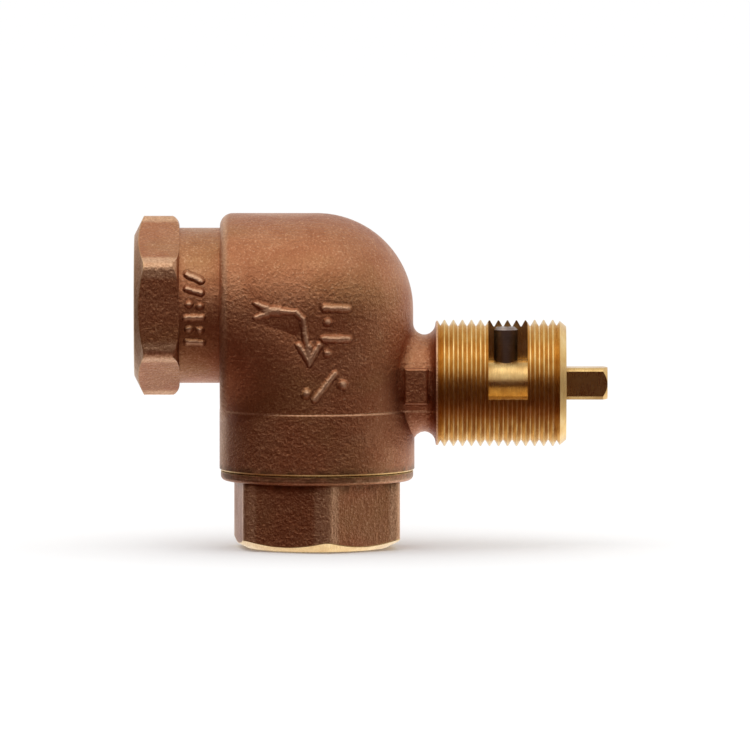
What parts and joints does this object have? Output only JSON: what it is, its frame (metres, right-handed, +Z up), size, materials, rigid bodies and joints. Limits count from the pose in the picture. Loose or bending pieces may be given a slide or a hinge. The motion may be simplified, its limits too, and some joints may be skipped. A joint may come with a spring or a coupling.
{
  "type": "pressure relief valve",
  "caption": "Bronze angle relief valve: threaded side inlet and bottom outlet, spring-loaded seat disc, and a quarter-turn square test stem in a threaded, windowed shank.",
  "frame": {"origin": "centre of the outlet port's mouth, on the hexagon's bottom face", "axes": "+Z up the outlet axis; +X along the valve stem, out of the threaded shank; the inlet port faces -X; the shank's open window and stop pin face -Y and +Z"},
  "size_m": [0.0951, 0.0392, 0.0672],
  "materials": {
    "cast_bronze": "as-cast, satin, grainy",
    "machined_brass": "turned, bright",
    "bearing_bronze": "sintered, satin",
    "stainless_steel": "turned",
    "hardened_steel": "ground and oil-blackened",
    "spring_steel": "drawn wire and stamped strip",
    "black_rubber": "moulded",
    "fibre_gasket": "compressed fibre",
    "white_plastic": "machined"
  },
  "bodies": {
    "housing": {"valve_body": "cast_bronze", "outlet_bonnet": "cast_bronze", "bonnet_o_ring": "black_rubber", "seat_ring": "machined_brass", "seat_gasket": "fibre_gasket", "guide_spider": "machined_brass", "rod_guide_bush": "bearing_bronze", "spider_snap_ring": "spring_steel", "adjusting_nut": "machined_brass", "stem_bush": "bearing_bronze"},
    "stem": {"valve_stem": "machined_brass", "stop_pin": "hardened_steel", "inner_stem_o_ring": "black_rubber", "outer_stem_o_ring": "black_rubber", "stem_thrust_washer": "white_plastic", "stem_snap_ring": "spring_steel"},
    "poppet": {"valve_rod": "stainless_steel", "disc_holder": "machined_brass", "seat_disc": "black_rubber", "disc_washer": "stainless_steel", "disc_nut": "stainless_steel", "push_cap": "hardened_steel", "relief_spring": "spring_steel"}
  },
  "joints": [
    {"name": "stem_turn", "type": "hinge", "parent": "housing", "child": "stem", "pos_m": [0, 0, 0.033], "axis": [1, 0, 0], "range_deg": [0, 90]},
    {"name": "poppet_lift", "type": "slide", "parent": "housing", "child": "poppet", "axis": [0, 0, -1], "range_m": [0, 0.0026], "deforming": ["relief_spring"]}
  ],
  "couplings": [
    {"joint": "stem_turn", "follows": "poppet_lift", "rad_per_m": 604.15}
  ]
}
